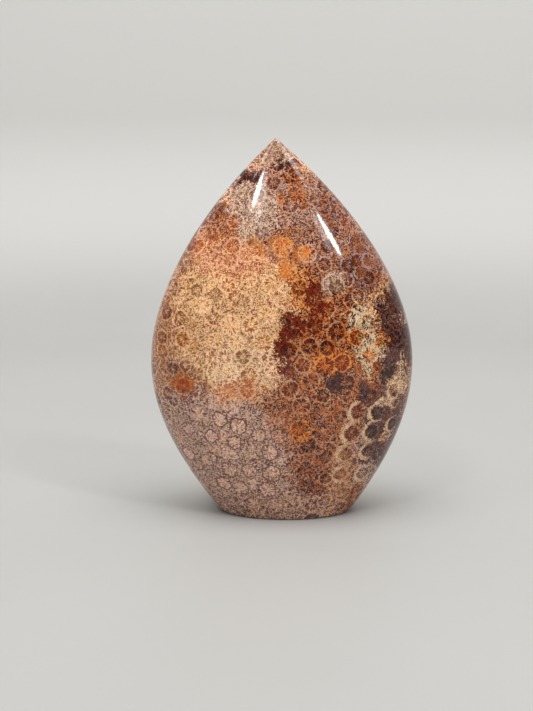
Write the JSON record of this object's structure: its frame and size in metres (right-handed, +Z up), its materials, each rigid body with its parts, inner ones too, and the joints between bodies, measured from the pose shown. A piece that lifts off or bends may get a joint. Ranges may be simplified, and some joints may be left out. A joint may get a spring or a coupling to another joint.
{
  "type": "polished fossil coral flame",
  "caption": "Fossil coral ground and polished to a pointed flame with a lens-shaped section, sawn flat at the foot so that it stands upright as an ornament.",
  "frame": {"origin": "on the table, under the middle of the stone's width and thickness", "axes": "+Z up from the sawn foot to the tip, -Y out of the wide face that the picture shows, +X to that view's right"},
  "size_m": [0.0738, 0.037, 0.105],
  "materials": {
    "coral": "polished"
  },
  "bodies": {
    "root": {"coral_flame": "coral"}
  },
  "joints": []
}
